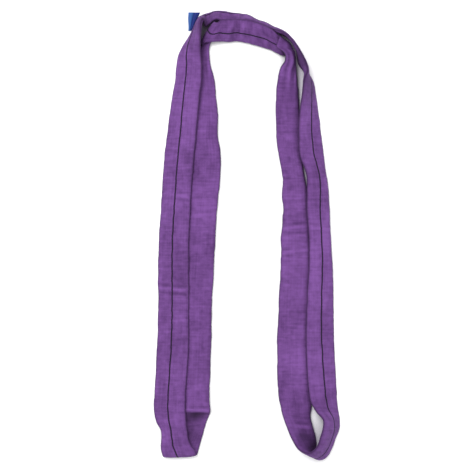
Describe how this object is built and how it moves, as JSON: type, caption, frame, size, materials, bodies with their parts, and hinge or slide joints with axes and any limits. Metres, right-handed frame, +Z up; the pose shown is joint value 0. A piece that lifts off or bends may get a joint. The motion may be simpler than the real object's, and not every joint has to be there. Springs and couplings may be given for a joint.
{
  "type": "round sling",
  "caption": "Endless soft lifting sling: a flattened woven sleeve over a parallel yarn core, laid as a double arch with two legs, a folded bight, an open eye and a label.",
  "frame": {"origin": "middle of the sling's footprint, on the ground it lies on", "axes": "+Z up; +Y from the feet of the legs to the bridge; +X from the left leg to the right leg"},
  "size_m": [0.2789, 0.6733, 0.0424],
  "materials": {
    "sleeve_fabric": "woven violet polyester, matt with a soft sheen",
    "stripe_yarn": "black tracer yarn woven in",
    "core_yarn": "raw white high-tenacity polyester",
    "tie_tape": "plain woven tape",
    "label_tape": "blue woven label tape",
    "seam_thread": "bonded sewing thread",
    "tag_film": "matt film"
  },
  "bodies": {
    "bridge": {"sleeve_bridge_front": "sleeve_fabric", "sleeve_bridge_rear": "sleeve_fabric", "core_yarns_bridge_front": "core_yarn", "core_yarns_bridge_rear": "core_yarn", "tracer_stripe_bridge_front": "stripe_yarn", "tracer_stripe_bridge_rear": "stripe_yarn", "core_tie_bridge_front": "tie_tape", "sleeve_lap": "sleeve_fabric", "closing_seam_thread": "seam_thread"},
    "label": {"label": "label_tape", "label_thread": "seam_thread"},
    "left_leg": {"sleeve_left_over": "sleeve_fabric", "sleeve_left_under": "sleeve_fabric", "core_yarns_left_over": "core_yarn", "core_yarns_left_under": "core_yarn", "tracer_stripe_left_over": "stripe_yarn", "tracer_stripe_left_under": "stripe_yarn", "core_tie_left_under": "tie_tape", "traceability_tag": "tag_film"},
    "left_foot": {"sleeve_left_bight": "sleeve_fabric", "core_yarns_left_bight": "core_yarn", "tracer_stripe_left_bight": "stripe_yarn", "core_tie_left_bight": "tie_tape"},
    "right_leg": {"sleeve_right_over": "sleeve_fabric", "sleeve_right_under": "sleeve_fabric", "core_yarns_right_over": "core_yarn", "core_yarns_right_under": "core_yarn", "tracer_stripe_right_over": "stripe_yarn", "tracer_stripe_right_under": "stripe_yarn", "core_tie_right_over": "tie_tape"},
    "right_foot": {"sleeve_right_eye": "sleeve_fabric", "core_yarns_right_eye": "core_yarn", "tracer_stripe_right_eye": "stripe_yarn", "core_tie_right_eye": "tie_tape"}
  },
  "joints": [
    {"name": "left_leg_swing", "type": "hinge", "parent": "bridge", "child": "left_leg", "pos_m": [-0.1076, 0.2369, 0], "axis": [0, 0, -1], "range_deg": [0, 45]},
    {"name": "right_leg_swing", "type": "hinge", "parent": "bridge", "child": "right_leg", "pos_m": [0.1035, 0.2132, 0], "axis": [0, 0, 1], "range_deg": [0, 45]},
    {"name": "left_leg_fold", "type": "hinge", "parent": "left_leg", "child": "left_foot", "pos_m": [-0.09, -0.038, 0.0155], "axis": [-1, 0, 0], "range_deg": [0, 165]},
    {"name": "right_leg_fold", "type": "hinge", "parent": "right_leg", "child": "right_foot", "pos_m": [0.105, -0.038, 0.0185], "axis": [-1, 0, 0], "range_deg": [0, 165]},
    {"name": "label_flap", "type": "hinge", "parent": "bridge", "child": "label", "pos_m": [-0.0831, 0.3066, 0.0004], "axis": [0.4207, 0.9072, 0], "range_deg": [0, 40]}
  ]
}
